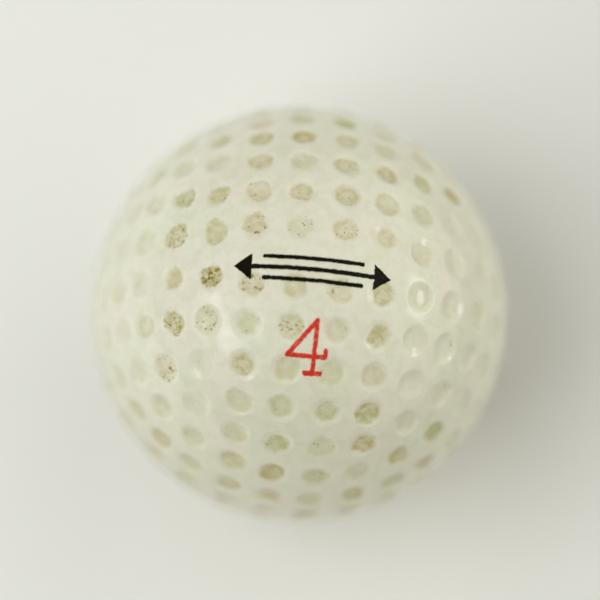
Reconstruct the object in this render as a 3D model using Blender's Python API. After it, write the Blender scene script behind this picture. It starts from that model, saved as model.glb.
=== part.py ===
"""A wound, three-piece golf ball, built from the inside out.

Frame: metres, origin at the centre of the ball, +Z through the pole that carries the marks, +X along the line of
the mark. The cover is two moulded half-shells that meet on the z = 0 plane. Their 336 dimples follow an
octahedron: three great circles stay free of dimples, and each of the eight octants holds the same 42.
"""

import math

import bmesh
import bpy
import numpy as np
from mathutils import Vector
from mathutils.geometry import delaunay_2d_cdt

# Driving dimensions, in metres
BALL_RADIUS = 0.021335  # a ball of 1.68 in, 42.67 mm
FIT_GAP = 0.0003  # clearance between neighbouring pieces
COVER_WALL = 0.0015
TAPE_OUTER_RADIUS = 0.0146
TAPE_WALL = 0.0007
SAC_WALL = 0.0016
PLUG_RADIUS = 0.0010
WINDING_OPENING_RADIUS = 0.0008  # stands for the gaps between the turns of thread

# Dimples, in metres and degrees
DIMPLE_RIM_RADIUS = 0.00165
DIMPLE_FLOOR_RADIUS = 0.00110
DIMPLE_DEPTH = 0.00028
RING_COUNT = 8  # dimples along each edge of an octant
RING_ROW_DEG = 5.75  # from a dimple-free great circle to the row beside it
INNER_COUNT = 6  # dimples along each side of the triangle inside that ring
INNER_INSET = 1.17  # how far that triangle stays from the octant's edges, in steps
INNER_POWER = 0.79  # evens out the triangle's spacing on the sphere
MARK_SPREAD_DEG = 2.5  # how far the rows beside the marks move apart to make room
MARK_HALF_LENGTH_DEG = 21.5
MARK_FADE_DEG = 20.4
MARK_POLE_MIN_Z = 0.3  # unit height above which a dimple counts as near a pole

# Facets
RIM_SIDES = 8
SEAM_SIDES = 80
DOME_RINGS = 9
SHELL_SIDES = 24
PLUG_SIDES = 16

# Derived sizes
COVER_INNER_RADIUS = BALL_RADIUS - COVER_WALL
WINDING_OUTER_RADIUS = COVER_INNER_RADIUS - FIT_GAP
WINDING_INNER_RADIUS = TAPE_OUTER_RADIUS + FIT_GAP
TAPE_INNER_RADIUS = TAPE_OUTER_RADIUS - TAPE_WALL
SAC_OUTER_RADIUS = TAPE_INNER_RADIUS - FIT_GAP
SAC_INNER_RADIUS = SAC_OUTER_RADIUS - SAC_WALL
FILL_RADIUS = SAC_INNER_RADIUS - FIT_GAP
FILLING_HOLE_RADIUS = PLUG_RADIUS + FIT_GAP


# ---------------------------------------------------------------- scene and materials


def clear_scene():
    for old in list(bpy.data.objects):
        bpy.data.objects.remove(old, do_unlink=True)


def make_material(name, colour, roughness):
    material = bpy.data.materials.new(name)
    material.use_nodes = True
    material.diffuse_color = (*colour, 1.0)
    shader = material.node_tree.nodes["Principled BSDF"]
    shader.inputs["Base Color"].default_value = (*colour, 1.0)
    shader.inputs["Roughness"].default_value = roughness
    shader.inputs["Metallic"].default_value = 0.0
    return material


def add_object(name, mesh, material):
    mesh.materials.append(material)
    mesh.shade_smooth()
    mesh.set_sharp_from_angle(angle=math.radians(35))
    piece = bpy.data.objects.new(name, mesh)
    bpy.context.scene.collection.objects.link(piece)
    return piece


# ---------------------------------------------------------------- dimple pattern


def octant_ring():
    """Unit vectors of the 21 dimples in the rows beside the octant's three edges."""
    row = math.radians(RING_ROW_DEG)
    along = math.radians(90 - 2 * RING_ROW_DEG) / (RING_COUNT - 1)
    points = []
    for side in range(3):
        for step in range(RING_COUNT - 1):
            phi = row + step * along
            point = (math.cos(row) * math.cos(phi), math.cos(row) * math.sin(phi), math.sin(row))
            points.append(np.roll(point, side))
    return points


def octant_triangle():
    """Unit vectors of the 21 dimples inside that ring, in a triangle with INNER_COUNT to a side."""
    steps = INNER_COUNT - 1
    points = []
    for a in range(steps + 1):
        for b in range(steps + 1 - a):
            share = (np.array([a, b, steps - a - b]) + INNER_INSET) / (steps + 3 * INNER_INSET)
            point = np.sin(math.pi / 2 * share) ** INNER_POWER
            points.append(point / np.linalg.norm(point))
    return points


def make_room_for_marks(centre):
    """Moves a dimple near a pole away from the plane y = 0, where the mark is printed."""
    x, y, z = centre
    if abs(z) < MARK_POLE_MIN_Z:
        return centre
    x_deg = math.degrees(math.asin(abs(x)))
    y_deg = math.degrees(math.asin(abs(y)))
    along = math.exp(-((x_deg / MARK_HALF_LENGTH_DEG) ** 4))
    away = math.exp(-(y_deg - RING_ROW_DEG) / MARK_FADE_DEG)
    new_y = math.sin(math.radians(y_deg + MARK_SPREAD_DEG * along * away))
    shrink = math.sqrt((1 - new_y**2) / (x**2 + z**2))
    return np.array([x * shrink, math.copysign(new_y, y), z * shrink])


def upper_dimples():
    """Unit vectors of the 168 dimples above the parting plane."""
    octant = octant_ring() + octant_triangle()
    centres = []
    for sign_x in (1, -1):
        for sign_y in (1, -1):
            for point in octant:
                centres.append(make_room_for_marks(point * np.array([sign_x, sign_y, 1])))
    return centres


def dimple_circle(centre, radius, depth, sides):
    """Points of one dimple's rim or floor: a circle about the centre's axis, depth below the ball's surface."""
    across = np.cross(centre, (0.0, 0.0, 1.0))
    across /= np.linalg.norm(across)
    up = np.cross(centre, across)
    height = math.sqrt(BALL_RADIUS**2 - radius**2) if depth == 0 else BALL_RADIUS - depth
    turns = 2 * math.pi * np.arange(sides) / sides
    return [height * centre + radius * (math.cos(t) * across + math.sin(t) * up) for t in turns]


# ---------------------------------------------------------------- cover halves


def flatten(point):
    """Stereographic map of a point near the upper hemisphere onto a plane, as seen from the pole below."""
    x, y, z = point / np.linalg.norm(point)
    return Vector((x / (1 + z), y / (1 + z)))


def land_triangles(points, loops):
    """Triangles over the land between the dimples. loops are the dimples' rims, as indices into points."""
    flat = [flatten(p) for p in points]
    rims = [list(loop) for loop in loops]
    _, _, faces, _, _, inside = delaunay_2d_cdt(flat, [], rims, 0, 1e-9)
    return [face for face, rim in zip(faces, inside) if not rim]


def join_ring_to_half(bm, ring, half):
    """Faces between a ring and a ring of half as many points inside it."""
    count = len(half)
    for i in range(count):
        before = ring[2 * i]
        middle = ring[2 * i + 1]
        after = ring[(2 * i + 2) % len(ring)]
        following = half[(i + 1) % count]
        bm.faces.new((before, middle, half[i]))
        bm.faces.new((middle, following, half[i]))
        bm.faces.new((middle, after, following))


def level_ring(bm, radius, height, sides):
    """A horizontal ring of points on a sphere of that radius."""
    reach = math.sqrt(radius**2 - height**2)
    turns = [2 * math.pi * i / sides for i in range(sides)]
    return [bm.verts.new((reach * math.cos(t), reach * math.sin(t), height)) for t in turns]


def inner_dome(bm, seam_height):
    """The inside of the half-shell. Returns the ring where it meets the parting face."""
    first = level_ring(bm, COVER_INNER_RADIUS, seam_height, SEAM_SIDES // 2)
    lower = first
    start = math.asin(seam_height / COVER_INNER_RADIUS)
    for i in range(1, DOME_RINGS):
        rise = start + (math.pi / 2 - start) * i / DOME_RINGS
        upper = level_ring(bm, COVER_INNER_RADIUS, COVER_INNER_RADIUS * math.sin(rise), len(first))
        for j in range(len(first)):
            k = (j + 1) % len(first)
            bm.faces.new((lower[j], upper[j], upper[k], lower[k]))
        lower = upper
    top = bm.verts.new((0, 0, COVER_INNER_RADIUS))
    for j in range(len(first)):
        bm.faces.new((lower[j], top, lower[(j + 1) % len(first)]))
    return first


def upper_half_mesh():
    """The dimpled half-shell above the parting plane, as one closed mesh."""
    bm = bmesh.new()
    seam_height = FIT_GAP / 2
    seam = level_ring(bm, BALL_RADIUS, seam_height, SEAM_SIDES)
    pole = bm.verts.new((0, 0, BALL_RADIUS))
    surface = [*seam, pole]
    rims = []
    floors = []
    for centre in upper_dimples():
        rim = [bm.verts.new(p) for p in dimple_circle(centre, DIMPLE_RIM_RADIUS, 0, RIM_SIDES)]
        floor = dimple_circle(centre, DIMPLE_FLOOR_RADIUS, DIMPLE_DEPTH, RIM_SIDES // 2)
        rims.append(range(len(surface), len(surface) + RIM_SIDES))
        floors.append([bm.verts.new(p) for p in floor])
        surface += rim
    for face in land_triangles([np.array(v.co) for v in surface], rims):
        bm.faces.new([surface[i] for i in face])
    for rim, floor in zip(rims, floors):
        join_ring_to_half(bm, [surface[i] for i in rim], floor)
        bm.faces.new(floor)
    join_ring_to_half(bm, seam, inner_dome(bm, seam_height))
    bmesh.ops.triangulate(bm, faces=bm.faces)
    bmesh.ops.recalc_face_normals(bm, faces=bm.faces)
    mesh = bpy.data.meshes.new("cover_half")
    bm.to_mesh(mesh)
    bm.free()
    return mesh


def mirrored_below(mesh):
    """The same half-shell on the other side of the parting plane."""
    bm = bmesh.new()
    bm.from_mesh(mesh)
    bmesh.ops.scale(bm, vec=(1, 1, -1), verts=bm.verts)
    bmesh.ops.reverse_faces(bm, faces=bm.faces)
    other = bpy.data.meshes.new("cover_half_mirrored")
    bm.to_mesh(other)
    bm.free()
    return other


def build_cover():
    paint = make_material("cover_paint", (0.78, 0.76, 0.66), 0.32)
    upper = upper_half_mesh()
    lower = mirrored_below(upper)
    add_object("cover_front_half", upper, paint)
    add_object("cover_rear_half", lower, paint)


# ---------------------------------------------------------------- core


def arc(radius, from_deg, to_deg, steps):
    """Points (reach, height) on a circle about the origin. 0 degrees is straight down, 180 straight up."""
    points = []
    for i in range(steps + 1):
        turn = math.radians(from_deg + (to_deg - from_deg) * i / steps)
        points.append((radius * math.sin(turn), -radius * math.cos(turn)))
    return points


def turned_mesh(name, profile, sides):
    """A solid of revolution about Z. The profile's first and last points lie on the axis."""
    bm = bmesh.new()
    first = bm.verts.new((0, 0, profile[0][1]))
    last = bm.verts.new((0, 0, profile[-1][1]))
    rings = []
    for reach, height in profile[1:-1]:
        turns = [2 * math.pi * i / sides for i in range(sides)]
        ring = [bm.verts.new((reach * math.cos(t), reach * math.sin(t), height)) for t in turns]
        rings.append(ring)
    for j in range(sides):
        k = (j + 1) % sides
        bm.faces.new((first, rings[0][k], rings[0][j]))
        bm.faces.new((last, rings[-1][j], rings[-1][k]))
        for below, above in zip(rings, rings[1:]):
            bm.faces.new((below[j], below[k], above[k], above[j]))
    bmesh.ops.recalc_face_normals(bm, faces=bm.faces)
    mesh = bpy.data.meshes.new(name)
    bm.to_mesh(mesh)
    bm.free()
    return mesh


def open_shell_mesh(name, outer_radius, inner_radius, hole_radius, rings):
    """A hollow sphere with one round hole at the top."""
    outer_end = 180 - math.degrees(math.asin(hole_radius / outer_radius))
    inner_end = 180 - math.degrees(math.asin(hole_radius / inner_radius))
    outside = arc(outer_radius, 0, outer_end, rings)
    inside = arc(inner_radius, inner_end, 0, rings)
    return turned_mesh(name, outside + inside, SHELL_SIDES)


def build_windings():
    thread = make_material("rubber_thread", (0.74, 0.62, 0.42), 0.65)
    tape = make_material("rubber_tape", (0.55, 0.43, 0.28), 0.7)
    winding = open_shell_mesh(
        "winding", WINDING_OUTER_RADIUS, WINDING_INNER_RADIUS, WINDING_OPENING_RADIUS, 12
    )
    add_object("thread_winding", winding, thread)
    layer = open_shell_mesh(
        "tape", TAPE_OUTER_RADIUS, TAPE_INNER_RADIUS, WINDING_OPENING_RADIUS, 12
    )
    add_object("base_tape_winding", layer, tape)


def build_centre():
    rubber = make_material("sac_rubber", (0.16, 0.14, 0.13), 0.55)
    plug_rubber = make_material("plug_rubber", (0.45, 0.12, 0.08), 0.5)
    paste = make_material("centre_paste", (0.62, 0.60, 0.52), 0.25)
    sac = open_shell_mesh("sac", SAC_OUTER_RADIUS, SAC_INNER_RADIUS, FILLING_HOLE_RADIUS, 12)
    add_object("centre_sac", sac, rubber)
    plug_low = SAC_INNER_RADIUS
    plug_high = SAC_OUTER_RADIUS - PLUG_RADIUS**2 / SAC_OUTER_RADIUS
    plug_profile = [(0, plug_low), (PLUG_RADIUS, plug_low), (PLUG_RADIUS, plug_high), (0, plug_high)]
    add_object("sac_plug", turned_mesh("plug", plug_profile, PLUG_SIDES), plug_rubber)
    fill = turned_mesh("fill", arc(FILL_RADIUS, 0, 180, 12), SHELL_SIDES)
    add_object("centre_fill", fill, paste)


clear_scene()
build_centre()
build_windings()
build_cover()
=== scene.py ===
"""Looks of an aged, wound golf ball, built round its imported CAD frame.

The two dimpled cover halves are modelled again at full fineness, with rounded dimple shoulders, and carry
the paint, the dirt in the dimples and the printed marks. The base tape, the sac, its plug and its filling
are modelled again too. The CAD thread layer stays, and turns of thread are laid over it.
"""

import math

import bpy
import numpy as np
from mathutils import Matrix, Vector
from mathutils.geometry import delaunay_2d_cdt


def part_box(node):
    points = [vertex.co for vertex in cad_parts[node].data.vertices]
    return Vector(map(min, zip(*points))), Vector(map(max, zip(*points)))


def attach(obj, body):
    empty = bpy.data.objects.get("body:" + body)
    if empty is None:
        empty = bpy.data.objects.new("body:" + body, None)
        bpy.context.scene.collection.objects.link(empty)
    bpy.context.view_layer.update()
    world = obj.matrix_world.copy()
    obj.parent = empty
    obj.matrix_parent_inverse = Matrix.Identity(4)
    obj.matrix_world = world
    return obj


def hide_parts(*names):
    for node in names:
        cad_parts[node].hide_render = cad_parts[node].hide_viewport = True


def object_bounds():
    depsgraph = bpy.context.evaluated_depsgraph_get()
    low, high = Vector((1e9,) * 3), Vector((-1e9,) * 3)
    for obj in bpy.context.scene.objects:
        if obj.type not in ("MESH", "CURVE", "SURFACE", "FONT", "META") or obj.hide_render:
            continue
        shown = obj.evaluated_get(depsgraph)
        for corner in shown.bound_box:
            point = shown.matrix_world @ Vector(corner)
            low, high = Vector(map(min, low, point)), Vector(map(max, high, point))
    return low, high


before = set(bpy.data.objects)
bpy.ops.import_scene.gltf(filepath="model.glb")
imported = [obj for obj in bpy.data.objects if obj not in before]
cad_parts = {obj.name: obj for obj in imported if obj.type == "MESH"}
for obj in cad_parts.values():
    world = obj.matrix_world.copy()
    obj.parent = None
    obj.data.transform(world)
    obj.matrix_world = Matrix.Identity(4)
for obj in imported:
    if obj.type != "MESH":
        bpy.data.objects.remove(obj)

CAD_LOW, CAD_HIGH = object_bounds()

# ---------------------------------------------------------------- driving values, in metres and degrees

BALL_RADIUS = (CAD_HIGH.z - CAD_LOW.z) / 2
COVER_WALL = 0.0015
COVER_INNER_RADIUS = BALL_RADIUS - COVER_WALL
SEAM_GAP = 0.00002  # hairline between the two halves, all that buffing and paint leave of it

DIMPLE_RADIUS = 0.00152  # where the dimple's wall would cut the sphere
DIMPLE_DEPTH = 0.00028
DIMPLE_POWER = 2.5  # 2 is a round bowl, more is flatter in the middle
SHOULDER = 0.00008  # height over which the dimple's edge is rounded off
DIMPLE_EDGE = DIMPLE_RADIUS * (1 + SHOULDER / DIMPLE_DEPTH) ** (1 / DIMPLE_POWER)  # where that ends
RING_COUNT = 8  # dimples along each edge of an octant
RING_ROW_DEG = 5.75  # from a dimple-free great circle to the row beside it
INNER_COUNT = 6  # dimples along each side of the triangle inside that ring
INNER_INSET = 1.17  # how far that triangle stays from the octant's edges, in steps
INNER_POWER = 0.79  # evens out the triangle's spacing on the sphere
MARK_SPREAD_DEG = 2.5  # how far the rows beside the marks move apart to make room
MARK_HALF_LENGTH_DEG = 21.5  # how far from the pole they do so along the mark
MARK_FADE_DEG = 20.4  # how fast the move dies out away from the mark
MARK_POLE_MIN_Z = 0.3  # dimples nearer the parting plane stay in place

DIMPLE_SIDES = 32
BOWL_RINGS = 6
SHOULDER_RINGS = 6
SEAM_SIDES = 480  # a whole multiple of DOME_SIDES
DOME_SIDES = 96  # of the smooth inner surface
DOME_RINGS = 24
LAND_STEP = 0.00055  # spacing of the extra points on the wider lands

INK_LIFT = 0.000012  # the printed film stands this far above the paint
INK_SINK = 0.000006  # and reaches this far into it
INK_STEP = 0.00012  # spacing of the film's points
INK_JITTER = 0.000022  # how ragged its edges are
STROKE_END_POINTS = 10  # points round each end of a stroke
ALIGNMENT_CENTRE = (-0.00055, -0.00125)  # across and up from the pole
ALIGNMENT_HALF_LENGTH = 0.0074
ALIGNMENT_HALF_HEIGHT = 0.00125  # of the arrowheads
ARROWHEAD_LENGTH = 1.3 * ALIGNMENT_HALF_HEIGHT
LONG_BAR_WIDTH = 0.00045
SHORT_BAR_WIDTH = 0.0004
SHORT_BAR_HALF_LENGTH = 0.62 * ALIGNMENT_HALF_LENGTH
SHORT_BAR_OFFSET = 0.82 * ALIGNMENT_HALF_HEIGHT  # from the long bar
NUMBER_CENTRE = (-0.0006, -0.0082)
NUMBER_STROKE_WIDTH = 0.00043

WINDING_RADIUS = -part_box("thread_winding")[0].z
TAPE_RADIUS = -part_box("base_tape_winding")[0].z
TAPE_WALL = 0.0007
SAC_RADIUS = -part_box("centre_sac")[0].z
FILL_RADIUS = -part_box("centre_fill")[0].z
FILL_GAP = 0.0001  # between the filling and the sac
SAC_INNER_RADIUS = FILL_RADIUS + FILL_GAP
FILLING_HOLE_RADIUS = 0.0013
PLUG_GAP = 0.00003  # between the plug and the hole's wall
PLUG_RADIUS = FILLING_HOLE_RADIUS - PLUG_GAP
LIP = 0.00015  # rounding of the filling hole's edges and of the plug
LIP_MIDDLE = 0.3 * LIP  # how far in from the corner the rounding's middle lies
MOULD_RIDGE = 0.00008  # height of the moulding line round the sac
BUBBLE_DEPTH = 0.0006  # the air left over the filling
BUBBLE_HALF_ANGLE = 0.22  # as seen from the ball's centre, in radians
TURNED_SIDES = 96
SAC_OUTER_POINTS = 121  # points along each turned profile
SAC_INNER_POINTS = 61
FILL_POINTS = 91
PLUG_WAIST_POINTS = 9
PLUG_DOME_POINTS = 8
SHARP_ANGLE = math.radians(40)  # edges of the core pieces sharper than this stay sharp

THREAD_WIDTH = 0.0009
THREAD_THICKNESS = 0.00032
THREAD_TURNS = 120
THREAD_SIDES = 8
THREAD_LOW = WINDING_RADIUS - 0.0001  # of its middle line: the first turn, bedded in the layer below
THREAD_HIGH = COVER_INNER_RADIUS - THREAD_THICKNESS / 2 - 0.00002  # the last turn, just clear of the cover
TAPE_WIDTH = 0.0060
TAPE_THICKNESS = 0.00020
TAPE_TURNS = 20
TAPE_SIDES = 16
TAPE_LOW = TAPE_RADIUS - TAPE_WALL + TAPE_THICKNESS / 2
TAPE_HIGH = TAPE_RADIUS + 0.0001
STRAND_STEPS = 72  # per turn
STRAND_ROUNDNESS = 0.7  # of the section: 1 is an ellipse, less is nearer to a rectangle

CAMERA_DISTANCE = 10.0  # from the ball's centre, in ball radii
CAMERA_AZIMUTH = -15.6
CAMERA_ELEVATION = 74.5
CAMERA_ROLL = 20.6
BALL_SHARE = 0.3458  # the ball's radius as a share of the frame's width
FRAME_SHIFT = (0.0015, 0.0235)  # the ball lies a little left of and below the middle of the frame
F_STOP = 8.6
FOCUS_HEIGHT = 0.88  # of the plane in focus, in ball radii from the centre towards the camera

WINDOW_COLOUR = (0.99, 1.0, 0.995)
ROOM_COLOUR = (1.0, 0.985, 0.88)
ROOM_AZIMUTH = 6
ROOM_BRIGHT = 1.59
ROOM_DARK = 0.01
BACKDROP = (0.74, 0.75, 0.70, 1)
PANEL_DISTANCE = 0.5  # of the lights from the ball
FLOOR_HALF_SIDE = 60 * BALL_RADIUS
FLOOR_FADE = (0.065, 0.22)  # distances from the ball between which the floor runs out into the backdrop

# areas of the cover: direction of the middle, cosine where the area starts, how much more makes it full
CLEAN_SIDE = ((0.80, -0.10, 0.59), 0.78, 0.14)
PALE_SIDE = ((-0.94, -0.07, 0.33), 0.86, 0.07)
SOILED_SIDE = ((0.06, 0.56, 0.83), 0.88, 0.08)
LEAST_STAIN = 0.24  # of a dimple outside those areas
STAIN_RANGE = 0.38  # how much more it can be
SPOT_REACH = math.radians(6)  # a spot belongs to a dimple at most this far away
# dimples that stand out: place in ball radii across and up from the pole, stain, flecks
DIRTY_SPOTS = (
    (-0.47, -0.10, 0.95, 0.90),
    (-0.29, -0.13, 0.45, 0.60),
    (-0.61, -0.29, 0.65, 0.65),
    (-0.63, 0.10, 0.55, 0.68),
    (-0.61, 0.29, 0.65, 0.60),
    (-0.47, 0.29, 0.65, 0.45),
    (-0.29, 0.13, 0.55, 0.45),
    (-0.47, -0.29, 0.40, 0.50),
    (-0.10, -0.31, 0.45, 0.60),
    (0.10, -0.14, 0.40, 0.40),
    (-0.10, 0.64, 0.80, 0.10),
    (0.10, 0.77, 0.80, 0.00),
    (0.62, 0.47, 0.90, 0.00),
    (-0.29, -0.48, 0.75, 0.05),
    (-0.29, -0.62, 0.30, 0.05),
    (0.29, -0.31, 0.70, 0.00),
    (0.29, -0.13, 0.60, 0.00),
    (0.29, -0.48, 0.35, 0.00),
    (0.10, -0.64, 0.60, 0.05),
    (0.29, -0.62, 0.75, 0.15),
    (0.29, -0.78, 0.80, 0.10),
    (0.62, -0.62, 0.75, 0.00),
    (0.47, -0.75, 0.70, 0.00),
    (-0.10, -0.88, 0.80, 0.10),
    (-0.47, -0.47, 0.05, 0.00),
    (-0.47, -0.62, 0.10, 0.00),
    (0.47, -0.47, 0.05, 0.00),
    (0.47, -0.62, 0.20, 0.00),
)

SEED = 7

PAINT_GREENER = (0.728, 0.732, 0.581)
PAINT_WARMER = (0.748, 0.715, 0.591)
PAINT_SMUDGED = (0.605, 0.595, 0.415)
# darker, yellower paint blended in over the ball's -Y side
PAINT_TOWARDS_MINUS_Y = (0.60, 0.57, 0.405)
STAIN_TAN = (0.488, 0.402, 0.178)
STAIN_OLIVE = (0.432, 0.423, 0.165)
GRIT_LIGHT = (0.29, 0.225, 0.055)
GRIT_DARK = (0.13, 0.085, 0.012)
SPECK = (0.35, 0.30, 0.10)
PAPER_DARK = (0.80, 0.80, 0.765)
PAPER_LIGHT = (0.81, 0.81, 0.775)


# ---------------------------------------------------------------- dimple pattern


def octant_ring():
    """Unit vectors of the 21 dimples in the rows beside the octant's three edges."""
    row = math.radians(RING_ROW_DEG)
    along = math.radians(90 - 2 * RING_ROW_DEG) / (RING_COUNT - 1)
    points = []
    for side in range(3):
        for step in range(RING_COUNT - 1):
            phi = row + step * along
            point = (math.cos(row) * math.cos(phi), math.cos(row) * math.sin(phi), math.sin(row))
            points.append(np.roll(point, side))
    return points


def octant_triangle():
    """Unit vectors of the 21 dimples inside that ring, in a triangle with INNER_COUNT to a side."""
    steps = INNER_COUNT - 1
    points = []
    for a in range(steps + 1):
        for b in range(steps + 1 - a):
            share = (np.array([a, b, steps - a - b]) + INNER_INSET) / (steps + 3 * INNER_INSET)
            point = np.sin(math.pi / 2 * share) ** INNER_POWER
            points.append(point / np.linalg.norm(point))
    return points


def make_room_for_marks(centre):
    """Moves a dimple near a pole away from the plane y = 0, where the mark is printed."""
    x, y, z = centre
    if abs(z) < MARK_POLE_MIN_Z:
        return centre
    x_deg = math.degrees(math.asin(abs(x)))
    y_deg = math.degrees(math.asin(abs(y)))
    along = math.exp(-((x_deg / MARK_HALF_LENGTH_DEG) ** 4))
    away = math.exp(-(y_deg - RING_ROW_DEG) / MARK_FADE_DEG)
    new_y = math.sin(math.radians(y_deg + MARK_SPREAD_DEG * along * away))
    shrink = math.sqrt((1 - new_y**2) / (x**2 + z**2))
    return np.array([x * shrink, math.copysign(new_y, y), z * shrink])


def upper_dimples():
    """Unit vectors of the 168 dimples above the parting plane, one row each."""
    octant = octant_ring() + octant_triangle()
    centres = []
    for sign_x in (1, -1):
        for sign_y in (1, -1):
            for point in octant:
                centres.append(make_room_for_marks(point * np.array([sign_x, sign_y, 1])))
    return np.array(centres)


# ---------------------------------------------------------------- surface of the cover


def dimple_depth(distance):
    """Depth below the sphere, and its slope, at a distance along the surface from a dimple's centre."""
    reach = distance / DIMPLE_RADIUS
    bowl = DIMPLE_DEPTH * (1 - reach**DIMPLE_POWER)
    rounding = np.maximum(SHOULDER - np.abs(bowl), 0) ** 2 / (4 * SHOULDER)
    share = np.clip((bowl + SHOULDER) / (2 * SHOULDER), 0, 1)
    steepness = DIMPLE_POWER * DIMPLE_DEPTH / DIMPLE_RADIUS * reach ** (DIMPLE_POWER - 1)
    slope = -steepness * share
    return np.maximum(bowl, 0) + rounding, slope


def surface_radius(directions, centres):
    """How far the painted surface lies from the ball's centre, along unit vectors in the upper half."""
    nearest = np.clip((directions @ centres.T).max(axis=1), -1, 1)
    return BALL_RADIUS - dimple_depth(BALL_RADIUS * np.arccos(nearest))[0]


def surface_normals(directions, centres):
    """Normals of the painted surface along unit vectors in the upper half."""
    cosines = directions @ centres.T
    nearest = centres[cosines.argmax(axis=1)]
    distance = BALL_RADIUS * np.arccos(np.clip(cosines.max(axis=1), -1, 1))
    slope = dimple_depth(distance)[1]
    away = directions * cosines.max(axis=1)[:, None] - nearest
    away /= np.maximum(np.linalg.norm(away, axis=1), 1e-9)[:, None]
    normals = directions + slope[:, None] * away
    return normals / np.linalg.norm(normals, axis=1)[:, None]


def circle_frame(centre):
    """Two unit vectors square to centre and to each other."""
    across = np.cross(centre, (0.0, 0.0, 1.0))
    across /= np.linalg.norm(across)
    return across, np.cross(centre, across)


def ring_distances():
    """Distances from a dimple's centre of the rings of points that shape it."""
    inner = DIMPLE_RADIUS * (1 - SHOULDER / DIMPLE_DEPTH) ** (1 / DIMPLE_POWER)
    bowl = np.linspace(0, inner, BOWL_RINGS + 1)[1:]
    shoulder = np.linspace(inner, DIMPLE_EDGE, SHOULDER_RINGS + 1)[1:]
    return np.concatenate([bowl, shoulder])


def dimple_points(centre):
    """Points, normals and distances of one dimple: its middle, then ring after ring outwards."""
    across, up = circle_frame(centre)
    turns = 2 * math.pi * np.arange(DIMPLE_SIDES) / DIMPLE_SIDES
    sideways = np.cos(turns)[:, None] * across + np.sin(turns)[:, None] * up
    points = [centre * (BALL_RADIUS - DIMPLE_DEPTH)]
    normals = [centre]
    distances = [0.0]
    for distance in ring_distances():
        angle = distance / BALL_RADIUS
        depth, slope = dimple_depth(distance)
        radial = math.cos(angle) * centre + math.sin(angle) * sideways
        along = math.cos(angle) * sideways - math.sin(angle) * centre
        normal = radial + slope * along
        points.extend(radial * (BALL_RADIUS - depth))
        normals.extend(normal / np.linalg.norm(normal, axis=1)[:, None])
        distances.extend([distance] * DIMPLE_SIDES)
    return points, normals, distances


def dimple_faces(first):
    """Faces of one dimple whose middle point has index first."""
    faces = []
    for j in range(DIMPLE_SIDES):
        k = (j + 1) % DIMPLE_SIDES
        faces.append((first, first + 1 + k, first + 1 + j))
        for ring in range(BOWL_RINGS + SHOULDER_RINGS - 1):
            inner = first + 1 + ring * DIMPLE_SIDES
            outer = inner + DIMPLE_SIDES
            faces.append((inner + j, inner + k, outer + k, outer + j))
    return faces


def land_points(centres):
    """Extra points where the land is wide, spread evenly by the golden angle."""
    count = int(2 * math.pi * BALL_RADIUS**2 / LAND_STEP**2)
    height = (np.arange(count) + 0.5) / count
    turn = np.arange(count) * math.pi * (3 - math.sqrt(5))
    reach = np.sqrt(1 - height**2)
    spread = np.stack([reach * np.cos(turn), reach * np.sin(turn), height], axis=1)
    nearest = np.arccos(np.clip((spread @ centres.T).max(axis=1), -1, 1)) * BALL_RADIUS
    free = (nearest > DIMPLE_EDGE + LAND_STEP / 2) & (height * BALL_RADIUS > LAND_STEP / 2)
    return np.vstack([[(0, 0, 1)], spread[free]]) * BALL_RADIUS


def flatten(point):
    """Stereographic map of a point above the parting plane onto that plane, as seen from the pole below."""
    x, y, z = point / np.linalg.norm(point)
    return Vector((x / (1 + z), y / (1 + z)))


def land_faces(points, rims):
    """Triangles over the land between the dimples. rims are lists of indices into points."""
    flat = [flatten(point) for point in points]
    _, _, faces, _, _, rims_round = delaunay_2d_cdt(flat, [], rims, 0, 1e-9)
    return [tuple(face) for face, rims_found in zip(faces, rims_round) if not rims_found]


def level_ring(radius, height, sides):
    """A horizontal ring of points on a sphere of that radius."""
    turns = 2 * math.pi * np.arange(sides) / sides
    reach = math.sqrt(radius**2 - height**2)
    return np.stack([reach * np.cos(turns), reach * np.sin(turns), np.full(sides, height)], axis=1)


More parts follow.
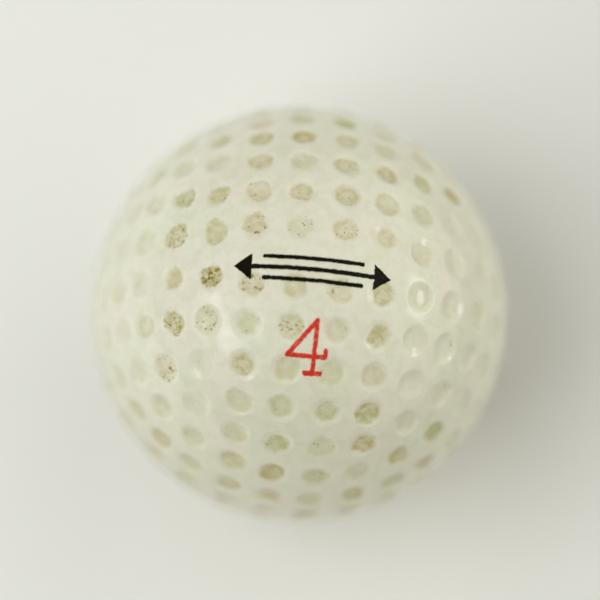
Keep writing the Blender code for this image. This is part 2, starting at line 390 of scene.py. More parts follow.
class HalfShell:
    """Points and faces of the cover half above the parting plane, as one closed surface."""

    def __init__(self, centres):
        self.centres = centres
        self.points = []
        self.normals = []
        self.reach = []  # distance from the dimple's centre as a share of its edge, 2 on the land
        self.dimple = []  # index of the dimple a point belongs to, or -1
        self.outer_faces = []
        self.inner_faces = []
        self.parting_faces = []
        self.add_outside()
        self.add_inside()

    def add(self, points, normals, reach, dimple):
        """Adds points that belong to one dimple, or to none, and returns the index of the first."""
        first = len(self.points)
        self.points.extend(points)
        self.normals.extend(normals)
        self.reach.extend(reach)
        self.dimple.extend([dimple] * len(points))
        return first

    def add_outside(self):
        """The painted surface: the parting line, the land and the dimples."""
        seam = level_ring(BALL_RADIUS, SEAM_GAP / 2, SEAM_SIDES)
        land = np.vstack([seam, land_points(self.centres)])
        self.add(land, land / BALL_RADIUS, [2.0] * len(land), -1)
        border = list(range(len(land)))
        rims = []
        for i, centre in enumerate(self.centres):
            points, normals, distances = dimple_points(centre)
            first = self.add(points, normals, [d / DIMPLE_EDGE for d in distances], i)
            self.outer_faces += dimple_faces(first)
            rim = list(range(len(border), len(border) + DIMPLE_SIDES))
            border += range(len(self.points) - DIMPLE_SIDES, len(self.points))
            rims.append(rim)
        shared = [self.points[i] for i in border]
        self.outer_faces += [tuple(border[i] for i in face) for face in land_faces(shared, rims)]

    def add_inside(self):
        """The smooth inner dome, and the flat parting face that joins it to the outside."""
        start = math.asin(SEAM_GAP / 2 / COVER_INNER_RADIUS)
        rings = []
        for i in range(DOME_RINGS):
            rise = start + (math.pi / 2 - start) * i / DOME_RINGS
            ring = level_ring(COVER_INNER_RADIUS, COVER_INNER_RADIUS * math.sin(rise), DOME_SIDES)
            rings.append(self.add(ring, -ring / COVER_INNER_RADIUS, [2.0] * DOME_SIDES, -1))
        top = self.add([(0, 0, COVER_INNER_RADIUS)], [(0, 0, -1)], [2.0], -1)
        share = SEAM_SIDES // DOME_SIDES
        for j in range(DOME_SIDES):
            k = (j + 1) % DOME_SIDES
            for lower, upper in zip(rings, rings[1:]):
                self.inner_faces.append((lower + j, upper + j, upper + k, lower + k))
            self.inner_faces.append((rings[-1] + j, top, rings[-1] + k))
            seam = [(j * share + step) % SEAM_SIDES for step in range(share + 1)]
            self.parting_faces.append((rings[0] + j, rings[0] + k, *reversed(seam)))


def facing_out(faces, points):
    """The outer faces, each turned so that its normal points away from the ball's centre."""
    turned = []
    for face in faces:
        a, b, c = (np.array(points[i]) for i in face[:3])
        normal = np.cross(b - a, c - a)
        turned.append(face if normal @ (a + b + c) > 0 else face[::-1])
    return turned


# ---------------------------------------------------------------- dirt


def nearness(centres, area):
    """How far inside an area of the cover each dimple lies, from 0 at its edge to 1."""
    direction, start, fade = area
    return np.clip((centres @ np.array(direction) - start) / fade, 0, 1)


def dirt_strengths(centres, rng):
    """How stained each dimple is, how many dark flecks it holds and how green its stain is, from 0 to 1."""
    count = len(centres)
    rubbed = nearness(centres, CLEAN_SIDE)
    stain = LEAST_STAIN + STAIN_RANGE * rng.random(count)
    stain *= 1 - 0.75 * rubbed
    stain *= 1 - 0.55 * nearness(centres, PALE_SIDE)
    stain *= 1 + 0.45 * nearness(centres, SOILED_SIDE)
    fleck = 0.6 * rng.random(count) ** 4 * (1 - rubbed)
    green = rng.random(count)
    for x, y, spot_stain, spot_fleck in DIRTY_SPOTS:
        spot = np.array([x, y, math.sqrt(1 - x**2 - y**2)])
        if (centres @ spot).max() > math.cos(SPOT_REACH):
            nearest = (centres @ spot).argmax()
            stain[nearest] = spot_stain
            fleck[nearest] = spot_fleck
    return stain, fleck, green


# ---------------------------------------------------------------- cover objects


def add_object(name, data):
    """A new object in the scene. Without data it is an empty."""
    added = bpy.data.objects.new(name, data)
    bpy.context.scene.collection.objects.link(added)
    return added


def add_attribute(mesh, name, values):
    """Stores one number for each of the mesh's points."""
    attribute = mesh.attributes.new(name, "FLOAT", "POINT")
    attribute.data.foreach_set("value", np.asarray(values, np.float32))


def cover_half(name, shell, side, material, rng):
    """One half of the cover as an object. side is 1 above the parting plane and -1 below it."""
    flip = np.array([1, 1, side])
    points = np.array(shell.points) * flip
    normals = np.array(shell.normals) * flip
    faces = facing_out(shell.outer_faces, shell.points) + shell.inner_faces + shell.parting_faces
    if side < 0:
        faces = [face[::-1] for face in faces]
    mesh = bpy.data.meshes.new(name)
    mesh.from_pydata(points.tolist(), [], faces)
    dimple = np.array(shell.dimple)
    add_attribute(mesh, "reach", shell.reach)
    strengths = dirt_strengths(shell.centres * flip, rng)
    for label, strength in zip(("stain", "fleck", "green"), strengths):
        add_attribute(mesh, label, np.where(dimple < 0, 0, strength[dimple]))
    corner_normals = normals[[loop.vertex_index for loop in mesh.loops]]
    parting_corners = sum(len(face) for face in shell.parting_faces)
    corner_normals[-parting_corners:] = (0, 0, -side)
    mesh.shade_smooth()
    mesh.normals_split_custom_set(corner_normals.tolist())
    mesh.materials.append(material)
    piece = add_object(name, mesh)
    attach(piece, "root")
    return piece


# ---------------------------------------------------------------- printed marks


def capsule(start, end, width):
    """Outline of a straight stroke with round ends."""
    start, end = np.array(start), np.array(end)
    along = math.atan2(end[1] - start[1], end[0] - start[0])
    outline = []
    for centre, heading in ((end, along), (start, along + math.pi)):
        for turn in np.linspace(-math.pi / 2, math.pi / 2, STROKE_END_POINTS):
            direction = np.array([math.cos(heading + turn), math.sin(heading + turn)])
            outline.append(centre + width / 2 * direction)
    return np.array(outline)


def alignment_strokes():
    """A long bar with an arrowhead at each end, and a shorter bar on each side of it."""
    length, height = ALIGNMENT_HALF_LENGTH, ALIGNMENT_HALF_HEIGHT
    shoulder = length - ARROWHEAD_LENGTH
    strokes = [capsule((-shoulder, 0), (shoulder, 0), LONG_BAR_WIDTH)]
    for side in (1, -1):
        head = np.array([(length, 0), (shoulder, height), (shoulder, -height)])
        strokes.append(head * side)
        offset = SHORT_BAR_OFFSET * side
        ends = (-SHORT_BAR_HALF_LENGTH, offset), (SHORT_BAR_HALF_LENGTH, offset)
        strokes.append(capsule(*ends, SHORT_BAR_WIDTH))
    return [stroke + np.array(ALIGNMENT_CENTRE) for stroke in strokes]


def number_strokes():
    """A plain figure four on a foot, with a short upright at the end of its bar."""
    top, bar, base = 0.0023, -0.0009, -0.00235
    left, right, stem = -0.00165, 0.0019, 0.00085
    upright, half_foot = 0.0006, 0.00075
    lines = (
        ((stem, top), (stem, base)),
        ((stem, top), (left, bar)),
        ((left, bar), (right, bar)),
        ((right, bar), (right, bar + upright)),
        ((stem - half_foot, base), (stem + half_foot, base)),
    )
    return [capsule(start, end, NUMBER_STROKE_WIDTH) + np.array(NUMBER_CENTRE) for start, end in lines]


def ragged_outline(outline, rng):
    """The outline cut into short steps, each point moved a little at random."""
    points = []
    for start, end in zip(outline, np.roll(outline, -1, axis=0)):
        steps = max(1, round(np.linalg.norm(end - start) / INK_STEP))
        for step in range(steps):
            points.append(start + (end - start) * step / steps)
    return np.array(points) + rng.normal(0, INK_JITTER, (len(points), 2))


def inside(points, outline):
    """Which points lie inside a closed outline, by counting the edges crossed to the right of them."""
    crossings = np.zeros(len(points), int)
    for (ax, ay), (bx, by) in zip(outline, np.roll(outline, -1, axis=0)):
        level = (points[:, 1] < ay) != (points[:, 1] < by)
        if ay != by:
            crossings += level & (points[:, 0] < ax + (points[:, 1] - ay) * (bx - ax) / (by - ay))
    return crossings % 2 == 1


def film_points(outlines):
    """An even grid of points inside the outlines."""
    every = np.vstack(outlines)
    low, high = every.min(axis=0), every.max(axis=0)
    columns = np.arange(low[0], high[0], INK_STEP)
    rows = np.arange(low[1], high[1], INK_STEP)
    grid = np.stack(np.meshgrid(columns, rows), axis=-1).reshape(-1, 2)
    return grid[np.any([inside(grid, outline) for outline in outlines], axis=0)]


def film_triangles(outlines):
    """Flat points and triangles that fill the outlines together."""
    points = list(film_points(outlines))
    edges = []
    for outline in outlines:
        first, count = len(points), len(outline)
        points.extend(outline)
        edges += [(first + i, first + (i + 1) % count) for i in range(count)]
    flat, _, faces, _, _, _ = delaunay_2d_cdt([Vector(p) for p in points], edges, [], 0, 1e-8)
    flat = np.array([tuple(p) for p in flat])
    faces = np.array(faces)
    middles = flat[faces].mean(axis=1)
    kept = np.any([inside(middles, outline) for outline in outlines], axis=0)
    return flat, faces[kept]


def rim_edges(faces):
    """Directed edges that only one face uses."""
    edges = {(face[i], face[(i + 1) % 3]) for face in faces.tolist() for i in range(3)}
    return [(a, b) for a, b in edges if (b, a) not in edges]


def printed_mark(name, strokes, side, centres, material, rng):
    """Strokes as one thin film of ink on the paint round a pole. side is 1 at the upper pole, -1 below."""
    flat, faces = film_triangles([ragged_outline(stroke, rng) for stroke in strokes])
    rise = np.sqrt(BALL_RADIUS**2 - (flat**2).sum(axis=1))
    directions = np.column_stack([flat, rise]) / BALL_RADIUS
    radius = surface_radius(directions, centres)[:, None]
    normals = surface_normals(directions, centres)
    half_turn = np.array([1, side, side])
    points = np.vstack([directions * (radius + INK_LIFT), directions * (radius - INK_SINK)]) * half_turn
    under = len(flat)
    walls = [(a, a + under, b + under, b) for a, b in rim_edges(faces)]
    mesh = bpy.data.meshes.new(name)
    mesh.from_pydata(points.tolist(), [], faces.tolist() + (faces[:, ::-1] + under).tolist() + walls)
    mesh.shade_smooth()
    mesh.normals_split_custom_set_from_vertices((np.vstack([normals, normals]) * half_turn).tolist())
    mesh.materials.append(material)
    mark = add_object(name, mesh)
    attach(mark, "root")
    return mark


# ---------------------------------------------------------------- core


def core_piece(name, mesh, material):
    """A piece of the core from its mesh, smooth but for the real corners."""
    mesh.shade_smooth()
    mesh.set_sharp_from_angle(angle=SHARP_ANGLE)
    mesh.materials.append(material)
    piece = add_object(name, mesh)
    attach(piece, "root")
    return piece


def strand_path(turns):
    """Unit vectors along a strand wound in great circles, whose axis drifts evenly over half a sphere."""
    share = np.arange(turns * STRAND_STEPS + 1) / (turns * STRAND_STEPS)
    tilt = np.arccos(1 - share)
    drift = tilt * math.sqrt(2 * math.pi * turns)
    turn = 2 * math.pi * turns * share - drift * np.cos(tilt)
    level = np.stack([-np.sin(drift), np.cos(drift), np.zeros_like(drift)], axis=1)
    axis = np.stack([np.sin(tilt) * np.cos(drift), np.sin(tilt) * np.sin(drift), np.cos(tilt)], axis=1)
    path = level * np.cos(turn)[:, None] + np.cross(axis, level) * np.sin(turn)[:, None]
    return np.roll(path, 1, axis=1), share


def strand_section(width, thickness, sides):
    """How far across and how high each corner of the strand's flat, round-edged section lies."""
    turns = 2 * math.pi * (np.arange(sides) + 0.5) / sides
    across = np.sign(np.cos(turns)) * np.abs(np.cos(turns)) ** STRAND_ROUNDNESS
    height = np.sign(np.sin(turns)) * np.abs(np.sin(turns)) ** STRAND_ROUNDNESS
    return width / 2 * across, thickness / 2 * height


def wound_strand(name, low, high, width, thickness, turns, sides, material):
    """One long strand wound round the core, its middle line rising from radius low to radius high."""
    path, share = strand_path(turns)
    along = np.gradient(path, axis=0)
    sideways = np.cross(path, along)
    sideways /= np.linalg.norm(sideways, axis=1)[:, None]
    radius = low + (high - low) * share
    across, height = strand_section(width, thickness, sides)
    bend = across / radius[:, None]
    lift = radius[:, None] + height
    points = path[:, None] * (np.cos(bend) * lift)[..., None]
    points += sideways[:, None] * (np.sin(bend) * lift)[..., None]
    faces = []
    for ring in range(len(path) - 1):
        first = ring * sides
        for j in range(sides):
            k = (j + 1) % sides
            faces.append((first + j, first + k, first + sides + k, first + sides + j))
    last = (len(path) - 1) * sides
    faces.append(tuple(reversed(range(sides))))
    faces.append(tuple(range(last, last + sides)))
    mesh = bpy.data.meshes.new(name)
    mesh.from_pydata(points.reshape(-1, 3).tolist(), [], faces)
    add_attribute(mesh, "across", np.tile(across, len(path)))
    return core_piece(name, mesh, material)


def turned_piece(name, profile, material):
    """A solid of revolution about Z. The profile's first and last points lie on the axis."""
    turns = 2 * math.pi * np.arange(TURNED_SIDES) / TURNED_SIDES
    points = [(0, 0, profile[0][1]), (0, 0, profile[-1][1])]
    for reach, height in profile[1:-1]:
        points += [(reach * math.cos(t), reach * math.sin(t), height) for t in turns]
    faces = []
    last = len(points) - TURNED_SIDES
    for j in range(TURNED_SIDES):
        k = (j + 1) % TURNED_SIDES
        faces.append((0, 2 + k, 2 + j))
        faces.append((1, last + j, last + k))
        for ring in range(2, last, TURNED_SIDES):
            faces.append((ring + j, ring + k, ring + TURNED_SIDES + k, ring + TURNED_SIDES + j))
    mesh = bpy.data.meshes.new(name)
    mesh.from_pydata(points, [], faces)
    return core_piece(name, mesh, material)


def sac_profile():
    """The hollow sac: up its outside over the moulding line, through the filling hole and down inside."""
    hole_turn = math.pi - math.asin((FILLING_HOLE_RADIUS + LIP) / SAC_RADIUS)
    profile = []
    for turn in np.linspace(0, hole_turn, SAC_OUTER_POINTS):
        height = -SAC_RADIUS * math.cos(turn)
        ridge = MOULD_RIDGE * math.exp(-((height / (2 * MOULD_RIDGE)) ** 2))
        profile.append(((SAC_RADIUS - MOULD_RIDGE + ridge) * math.sin(turn), height))
    top = profile[-1][1]
    profile.append((FILLING_HOLE_RADIUS + LIP_MIDDLE, top - LIP_MIDDLE))
    profile.append((FILLING_HOLE_RADIUS, top - LIP))
    inner_turn = math.pi - math.asin(FILLING_HOLE_RADIUS / SAC_INNER_RADIUS)
    for turn in np.linspace(inner_turn, 0, SAC_INNER_POINTS):
        profile.append((SAC_INNER_RADIUS * math.sin(turn), -SAC_INNER_RADIUS * math.cos(turn)))
    return profile


def plug_profile():
    """A short plug, waisted in the middle, with a domed outer end."""
    low = math.sqrt(SAC_INNER_RADIUS**2 - PLUG_RADIUS**2)
    high = math.sqrt(SAC_RADIUS**2 - PLUG_RADIUS**2) - LIP
    profile = [(0, low), (PLUG_RADIUS - LIP, low), (PLUG_RADIUS - LIP_MIDDLE, low + LIP_MIDDLE)]
    for share in np.linspace(0, 1, PLUG_WAIST_POINTS):
        waist = LIP / 2 * math.sin(math.pi * share)
        profile.append((PLUG_RADIUS - waist, low + LIP + (high - low - LIP) * share))
    for turn in np.linspace(0.15, 1, PLUG_DOME_POINTS) * math.pi / 2:
        profile.append((PLUG_RADIUS * math.cos(turn), high + LIP * math.sin(turn)))
    return profile[:-1] + [(0, high + LIP)]


def fill_profile():
    """The filling, round but for the shallow bubble of air at its top."""
    profile = []
    for turn in np.linspace(0, math.pi, FILL_POINTS):
        dent = BUBBLE_DEPTH * math.exp(-(((math.pi - turn) / BUBBLE_HALF_ANGLE) ** 4))
        radius = FILL_RADIUS - dent
        profile.append((radius * math.sin(turn), -radius * math.cos(turn)))
    return profile


# ---------------------------------------------------------------- materials


MIX_COLOUR_A, MIX_COLOUR_B, MIX_COLOUR_OUT = 6, 7, 2  # the Mix node's sockets for colours


class Nodes:
    """A short way to write the node tree of a material or a world."""

    def __init__(self, owner):
        self.tree = owner.node_tree

    def set(self, node, name, value):
        """Gives a node's input a value, or links it to an output."""
        socket = node.inputs[name]
        if isinstance(value, bpy.types.NodeSocket):
            self.tree.links.new(value, socket)
        else:
            socket.default_value = value

    def principled(self, **values):
        """Sets inputs of the material's shader; an underscore stands for a space in an input's name."""
        shader = self.tree.nodes["Principled BSDF"]
        for name, value in values.items():
            self.set(shader, name.replace("_", " "), value)

    def facing(self, direction):
        """Cosine of the angle between the view ray of a world and a direction."""
        node = self.tree.nodes.new("ShaderNodeVectorMath")
        node.operation = "DOT_PRODUCT"
        self.set(node, 0, self.tree.nodes.new("ShaderNodeTexCoord").outputs["Generated"])
        self.set(node, 1, direction)
        return node.outputs["Value"]

    def attribute(self, name):
        """A number stored on the mesh's points."""
        node = self.tree.nodes.new("ShaderNodeAttribute")
        node.attribute_name = name
        return node.outputs["Fac"]

    def position(self):
        """The surface point in the piece's own frame."""
        return self.tree.nodes.new("ShaderNodeTexCoord").outputs["Object"]

    def axis(self, name):
        """How far along one axis the surface lies."""
        node = self.tree.nodes.new("ShaderNodeSeparateXYZ")
        self.set(node, 0, self.position())
        return node.outputs[name]

    def noise(self, size, detail=2.0, roughness=0.5, distortion=0.0):
        """Noise whose blotches are about size metres across, from 0 to 1."""
        node = self.tree.nodes.new("ShaderNodeTexNoise")
        self.set(node, "Vector", self.position())
        self.set(node, "Scale", 1 / size)
        self.set(node, "Detail", detail)
        self.set(node, "Roughness", roughness)
        self.set(node, "Distortion", distortion)
        return node.outputs["Fac"]

    def math(self, operation, a, b=0.0, c=0.0):
        """One of the Math node's operations."""
        node = self.tree.nodes.new("ShaderNodeMath")
        node.operation = operation
        self.set(node, 0, a)
        self.set(node, 1, b)
        self.set(node, 2, c)
        return node.outputs[0]

    def dots(self, cell, radius, share):
        """Round dots, at most one in each cell of that size and only in a share of them."""
        node = self.tree.nodes.new("ShaderNodeTexVoronoi")
        self.set(node, "Vector", self.position())
        self.set(node, "Scale", 1 / cell)
        chosen = self.tree.nodes.new("ShaderNodeSeparateColor")
        self.set(chosen, "Color", node.outputs["Color"])
        near = self.ramp(node.outputs["Distance"], radius / cell, 0.5 * radius / cell)
        return self.math("MULTIPLY", near, self.math("LESS_THAN", chosen.outputs["Red"], share))

    def ramp(self, value, low, high, to_low=0.0, to_high=1.0):
        """value taken smoothly from low..high to to_low..to_high."""
        node = self.tree.nodes.new("ShaderNodeMapRange")
        node.interpolation_type = "SMOOTHSTEP"
        self.set(node, "Value", value)
        self.set(node, "From Min", low)
        self.set(node, "From Max", high)
        self.set(node, "To Min", to_low)
        self.set(node, "To Max", to_high)
        return node.outputs["Result"]

    def mix(self, factor, a, b):
        """Colour a where factor is 0 and colour b where it is 1."""
        node = self.tree.nodes.new("ShaderNodeMix")
        node.data_type = "RGBA"
        self.set(node, "Factor", factor)
        for socket, colour in ((MIX_COLOUR_A, a), (MIX_COLOUR_B, b)):
            self.set(node, socket, colour if isinstance(colour, bpy.types.NodeSocket) else (*colour, 1))
        return node.outputs[MIX_COLOUR_OUT]

    def seen_by_camera(self, usual, seen, share=1.0):
        """The usual shader, except that camera rays see a share of the other one."""
        camera_ray = self.tree.nodes.new("ShaderNodeLightPath").outputs["Is Camera Ray"]
        choice = self.tree.nodes.new("ShaderNodeMixShader")
        self.set(choice, 0, self.math("MULTIPLY", camera_ray, share))
        self.set(choice, 1, usual)
        self.set(choice, 2, seen)
        return choice.outputs["Shader"]

    def bump(self, height, distance):
        """The normal of a surface that height, from 0 to 1, raises by up to distance."""
        node = self.tree.nodes.new("ShaderNodeBump")
        self.set(node, "Height", height)
        self.set(node, "Distance", distance)
        self.set(node, "Strength", 1.0)
        return node.outputs["Normal"]


def new_material(name):
    """A new material, and the helper that writes its nodes."""
    material = bpy.data.materials.new(name)
    material.use_nodes = True
    return material, Nodes(material)


def dimple_dirt(nodes):
    """How much stain and grit there is, mostly on the dimple floors, and how dark the grit is, from 0 to 1.

    reach is 0 in a dimple's middle and 1 at its edge, and noise shifts it to give the stain a ragged outline
    off the middle. Grit is where fine noise rises above a level that falls with the dimple's flecks.
    """
    lopsided = nodes.math("MULTIPLY_ADD", nodes.noise(0.0024, 1.0), 0.7, -0.35)
    ragged = nodes.math("MULTIPLY_ADD", nodes.noise(0.0007, 3.0), 0.4, -0.2)
    reach = nodes.math("ADD", nodes.attribute("reach"), nodes.math("ADD", lopsided, ragged))
    floor = nodes.ramp(reach, 0.83, 0.54)
    tide = nodes.ramp(reach, 0.10, 0.50, 0.86, 1.07)
    cloud = nodes.ramp(nodes.noise(0.0008, 3.0, 0.6), 0.36, 0.60, 0.6, 1.2)
    patch = nodes.math("MULTIPLY", floor, nodes.math("MULTIPLY", cloud, tide))
    stain = nodes.math("MULTIPLY", patch, nodes.attribute("stain"))
    clump = nodes.math("MULTIPLY", nodes.noise(0.0010, 1.0), 0.25)
    grain = nodes.math("MULTIPLY_ADD", nodes.noise(0.00032, 3.0, 0.6), 0.8, clump)
    level = nodes.math("MULTIPLY_ADD", nodes.attribute("fleck"), -0.165, 0.665)
    above = nodes.math("SUBTRACT", grain, level)
    grit = nodes.math("MULTIPLY", nodes.ramp(above, 0.0, 0.07), floor)
    return stain, grit, nodes.ramp(above, 0.04, 0.16)


def cover_paint():
    """Aged ivory paint under a thin gloss, with olive and tan dirt on the dimple floors."""
    material, nodes = new_material("cover_paint")
    warm = nodes.ramp(nodes.noise(0.006, 2.0), 0.36, 0.64)
    paint = nodes.mix(warm, PAINT_GREENER, PAINT_WARMER)
    smudge = nodes.ramp(nodes.noise(0.0012, 4.0, 0.65), 0.38, 0.66)
    paint = nodes.mix(nodes.math("MULTIPLY", smudge, 0.36), paint, PAINT_SMUDGED)
    # the paint turns darker and yellower towards -Y, over the side of the ball lowest in the picture
    towards_minus_y = nodes.ramp(nodes.axis("Y"), -0.006, -0.020)
    paint = nodes.mix(nodes.math("MULTIPLY", towards_minus_y, 0.3), paint, PAINT_TOWARDS_MINUS_Y)
    stain, grit, darkness = dimple_dirt(nodes)
    colour = nodes.mix(stain, paint, nodes.mix(nodes.attribute("green"), STAIN_TAN, STAIN_OLIVE))
    grit_colour = nodes.mix(darkness, GRIT_LIGHT, GRIT_DARK)
    colour = nodes.mix(nodes.math("MULTIPLY", grit, 0.85), colour, grit_colour)
    specks = nodes.dots(cell=0.0026, radius=0.00018, share=0.05)
    colour = nodes.mix(nodes.math("MULTIPLY", specks, 0.6), colour, SPECK)
    nodes.principled(
        Base_Color=colour,
        Roughness=0.5,
        Specular_IOR_Level=0.2,
        Coat_Weight=nodes.ramp(stain, 0.1, 0.6, 1.0, 0.4),
        Coat_Roughness=0.10,
        Normal=nodes.bump(nodes.noise(0.0009, 2.0), 0.000004),
    )
    return material


def ink(name, colour, worn, share):
    """Printing ink, worn through to the paint in spots. share is how much of it is worn, from 0 to 1."""
    material, nodes = new_material(name)
    wear = nodes.ramp(nodes.noise(0.00025, 3.0, 0.65), 1 - share, 1.06 - share)
    nodes.principled(
        Base_Color=nodes.mix(wear, colour, worn),
        Roughness=0.5,
        Specular_IOR_Level=0.1,
        Coat_Weight=0.05,
        Coat_Roughness=0.2,
    )
    return material


def rubber(name, light, dark, size, roughness):
    """Rubber with a mottled colour, in blotches of that size, and a fine grain."""
    material, nodes = new_material(name)
    mottle = nodes.ramp(nodes.noise(size, 4.0, 0.6), 0.3, 0.7)
    nodes.principled(
        Base_Color=nodes.mix(mottle, dark, light),
        Roughness=nodes.ramp(mottle, 0, 1, roughness - 0.08, roughness + 0.08),
        Normal=nodes.bump(nodes.noise(size / 6, 3.0), 0.00003),
    )
    return material


def cut_rubber(name, light, dark, ridge):
    """Mottled strand rubber with fine lengthwise ridges, that far apart, from the knife that slit it."""
    material, nodes = new_material(name)
    mottle = nodes.ramp(nodes.noise(0.004, 4.0, 0.6), 0.3, 0.7)
    ridges = nodes.math("SINE", nodes.math("MULTIPLY", nodes.attribute("across"), 2 * math.pi / ridge))
    grain = nodes.math("MULTIPLY_ADD", ridges, 0.25, nodes.noise(0.0005, 3.0))
    # colour follows the mottle and the ridges: crests painted lighter and grooves darker, painted shade on
    # the ridges
    mottle_and_ridge_shade = nodes.math("MULTIPLY_ADD", ridges, 0.12, mottle)
    nodes.principled(
        Base_Color=nodes.mix(mottle_and_ridge_shade, dark, light),
        Roughness=nodes.ramp(mottle, 0, 1, 0.55, 0.72),
        Normal=nodes.bump(grain, 0.00002),
    )
    return material


def paste():
    """Pale, wet filling with slow swirls."""
    material, nodes = new_material("centre_paste")
    swirl = nodes.ramp(nodes.noise(0.006, 3.0, 0.55, 1.5), 0.35, 0.65)
    nodes.principled(
        Base_Color=nodes.mix(swirl, (0.44, 0.42, 0.34), (0.56, 0.54, 0.45)),
        Roughness=nodes.ramp(swirl, 0, 1, 0.18, 0.32),
        Coat_Weight=0.6,
        Coat_Roughness=0.05,
        Normal=nodes.bump(nodes.noise(0.003, 2.0, 0.5, 1.0), 0.00006),
    )
    return material


def floor_material():
    """White paper that runs out, for the camera only, into the even backdrop far behind the ball."""
    material, nodes = new_material("floor_paper")
    cloud = nodes.ramp(nodes.noise(0.05, 2.0), 0.3, 0.7)
    nodes.principled(Base_Color=nodes.mix(cloud, PAPER_DARK, PAPER_LIGHT), Roughness=0.85)
    length = nodes.tree.nodes.new("ShaderNodeVectorMath")
    length.operation = "LENGTH"
    nodes.set(length, 0, nodes.position())
    far = nodes.ramp(length.outputs["Value"], *FLOOR_FADE)
    glow = nodes.tree.nodes.new("ShaderNodeEmission")
    nodes.set(glow, "Color", BACKDROP)
    paper = nodes.tree.nodes["Principled BSDF"].outputs["BSDF"]
    shown = nodes.seen_by_camera(paper, glow.outputs["Emission"], far)
    nodes.set(nodes.tree.nodes["Material Output"], "Surface", shown)
    return material


# ---------------------------------------------------------------- stage, light and camera


def make_floor():
    """A wide square of paper under the ball."""
    half = FLOOR_HALF_SIDE
    corners = [(x, y, CAD_LOW.z) for x, y in ((-half, -half), (half, -half), (half, half), (-half, half))]
    mesh = bpy.data.meshes.new("floor")
    mesh.from_pydata(corners, [], [(0, 1, 2, 3)])
    mesh.materials.append(floor_material())
    add_object("floor", mesh)


def look_frame():
    """Unit vectors to the camera's right, up and back."""
    azimuth, elevation, roll = (math.radians(a) for a in (CAMERA_AZIMUTH, CAMERA_ELEVATION, CAMERA_ROLL))
    back = Vector((
        math.sin(azimuth) * math.cos(elevation),
        -math.cos(azimuth) * math.cos(elevation),
        math.sin(elevation),
    ))
    level = Vector((math.cos(azimuth), math.sin(azimuth), 0))
    right = level * math.cos(roll) + back.cross(level) * math.sin(roll)
    return right, back.cross(right), back


def make_camera():
    """The camera, with the ball's place in the frame set by the lens and the shift."""
    right, up, back = look_frame()
    data = bpy.data.cameras.new("camera")
    data.sensor_width = 36.0
    rim = math.tan(math.asin(1 / CAMERA_DISTANCE))
    data.lens = data.sensor_width * BALL_SHARE / rim
    data.shift_x, data.shift_y = FRAME_SHIFT
    data.clip_start, data.clip_end = 0.01, 10.0
    data.dof.use_dof = True
    data.dof.aperture_fstop = F_STOP
    camera = add_object("camera", data)
    camera.matrix_world = Matrix((right, up, back)).transposed().to_4x4()
    camera.location = back * CAMERA_DISTANCE * BALL_RADIUS
    bpy.context.scene.camera = camera
    focus_on_near_side(camera)


def focus_on_near_side(camera):
    """Focuses the camera on the near side of the ball, wherever the camera stands."""
    pivot = add_object("focus_pivot", None)
    aim = pivot.constraints.new("DAMPED_TRACK")
    aim.target = camera
    aim.track_axis = "TRACK_Z"
    focus = add_object("focus", None)
    focus.parent = pivot
    focus.location = (0, 0, FOCUS_HEIGHT * BALL_RADIUS)
    camera.data.dof.focus_object = focus


def look_direction(elevation, azimuth):
    """Unit vector towards the camera side by elevation, turned by azimuth from its right to its up."""
    right, up, back = look_frame()
    elevation, azimuth = math.radians(elevation), math.radians(azimuth)
    across = right * math.cos(azimuth) + up * math.sin(azimuth)
    return across * math.cos(elevation) + back * math.sin(elevation)


def add_panel(name, elevation, azimuth, size, power, diffuse=True, glossy=True):
    """A rectangular light that isn't itself in the picture.

    size is its extent along the azimuth, then along the elevation.
    """
    towards = look_direction(elevation, azimuth)
    data = bpy.data.lights.new(name, "AREA")
    data.shape = "RECTANGLE"
    data.size, data.size_y = size
    data.energy = power
    data.color = WINDOW_COLOUR
    panel = add_object(name, data)
    panel.location = towards * PANEL_DISTANCE
    panel.rotation_mode = "QUATERNION"
    panel.rotation_quaternion = towards.to_track_quat("Z", "Y")
    panel.visible_camera = False
    panel.visible_diffuse = diffuse
    panel.visible_glossy = glossy


def make_lights():
    """Five panels: a large window with its reflection, a side window, and two weaker ones to the right."""
    add_panel("soft_window", elevation=57, azimuth=183, size=(0.36, 0.40), power=1.95, glossy=False)
    add_panel("window", elevation=48, azimuth=186, size=(0.28, 0.085), power=0.17, diffuse=False)
    add_panel("side_window", elevation=33, azimuth=130, size=(0.40, 0.40), power=0.60, glossy=False)
    add_panel("upper_right", elevation=25, azimuth=60, size=(0.40, 0.40), power=0.20, glossy=False)
    add_panel("far_window", elevation=24, azimuth=8, size=(0.155, 0.09), power=0.165, diffuse=False)


def make_world():
    """A room that is bright low down on one side; the camera itself sees an even backdrop."""
    world = bpy.data.worlds.new("room")
    world.use_nodes = True
    nodes = Nodes(world)
    side = nodes.math("MAXIMUM", nodes.facing(look_direction(0, ROOM_AZIMUTH)), 0.0)
    overhead = nodes.math("POWER", nodes.math("ABSOLUTE", nodes.facing(look_direction(90, 0))), 2.0)
    low_down = nodes.math("SQRT", nodes.math("SUBTRACT", 1.0, overhead))
    glow = nodes.math("MULTIPLY", nodes.math("MULTIPLY", side, low_down), ROOM_BRIGHT)
    room = nodes.tree.nodes["Background"]
    nodes.set(room, "Color", (*ROOM_COLOUR, 1))
    nodes.set(room, "Strength", nodes.math("ADD", glow, ROOM_DARK))
    backdrop = nodes.tree.nodes.new("ShaderNodeBackground")
    nodes.set(backdrop, "Color", BACKDROP)
    shown = nodes.seen_by_camera(room.outputs["Background"], backdrop.outputs["Background"])
    nodes.set(nodes.tree.nodes["World Output"], "Surface", shown)
    bpy.context.scene.world = world


# ---------------------------------------------------------------- pieces


def make_cover(shell, rng):
    """The two fine halves of the cover, in place of the plain CAD halves."""
    paint = cover_paint()
    front = cover_half("cover_front", shell, 1, paint, rng)
    rear = cover_half("cover_rear", shell, -1, paint, rng)
    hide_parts("cover_front_half")
    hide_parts("cover_rear_half")


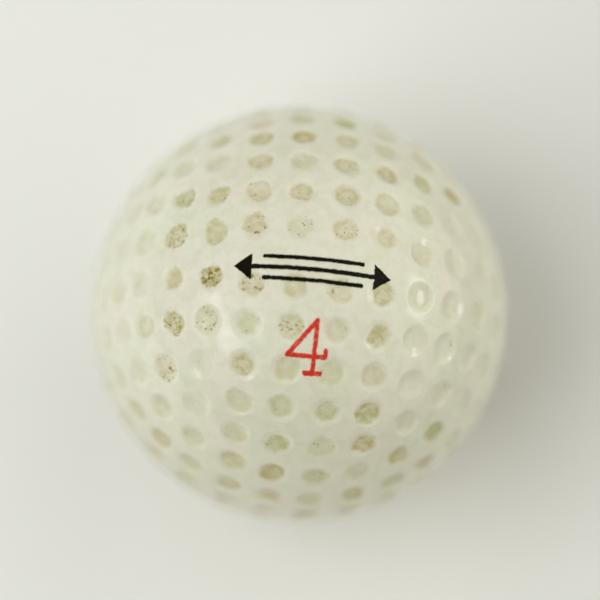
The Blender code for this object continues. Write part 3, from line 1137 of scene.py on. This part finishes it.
def make_marks(centres, rng):
    """The alignment mark and the number, printed at both poles."""
    black = ink("ink_black", colour=(0.006, 0.0055, 0.002), worn=(0.25, 0.24, 0.15), share=0.31)
    red = ink("ink_red", colour=(0.58, 0.036, 0.018), worn=(0.68, 0.22, 0.13), share=0.42)
    for side, pole in ((1, "front"), (-1, "rear")):
        mark = printed_mark(f"alignment_mark_{pole}", alignment_strokes(), side, centres, black, rng)
        number = printed_mark(f"number_{pole}", number_strokes(), side, centres, red, rng)


def make_thread():
    """Turns of flat thread, laid over the CAD thread layer."""
    thread = cut_rubber("thread_rubber", light=(0.60, 0.47, 0.28), dark=(0.46, 0.34, 0.18), ridge=0.00022)
    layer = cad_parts["thread_winding"].data
    layer.materials.clear()
    layer.materials.append(thread)
    turns = wound_strand(
        "thread_turns", THREAD_LOW, THREAD_HIGH, THREAD_WIDTH, THREAD_THICKNESS,
        THREAD_TURNS, THREAD_SIDES, thread,
    )


def make_tape():
    """Turns of wide tape, in place of the CAD tape layer."""
    tape = cut_rubber("tape_rubber", light=(0.36, 0.25, 0.14), dark=(0.27, 0.18, 0.10), ridge=0.0005)
    turns = wound_strand(
        "tape_turns", TAPE_LOW, TAPE_HIGH, TAPE_WIDTH, TAPE_THICKNESS, TAPE_TURNS, TAPE_SIDES, tape
    )
    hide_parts("base_tape_winding")


def make_centre():
    """The sac, its plug and its filling, in place of the plain CAD solids."""
    sac_rubber = rubber("sac_rubber", (0.06, 0.055, 0.05), (0.03, 0.027, 0.025), size=0.003, roughness=0.5)
    plug_rubber = rubber("plug_rubber", (0.32, 0.08, 0.05), (0.22, 0.05, 0.035), size=0.001, roughness=0.5)
    for piece, node, slot in (
        (turned_piece("sac", sac_profile(), sac_rubber), "centre_sac", "sac_rubber"),
        (turned_piece("plug", plug_profile(), plug_rubber), "sac_plug", "plug_rubber"),
        (turned_piece("filling", fill_profile(), paste()), "centre_fill", "centre_paste"),
    ):
        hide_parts(node)


# ---------------------------------------------------------------- the scene


half_shell = HalfShell(upper_dimples())
draws = np.random.default_rng(SEED)
make_cover(half_shell, draws)
make_marks(half_shell.centres, draws)
make_thread()
make_tape()
make_centre()
make_floor()
make_lights()
make_world()
make_camera()
bpy.context.scene.view_settings.view_transform = "Standard"
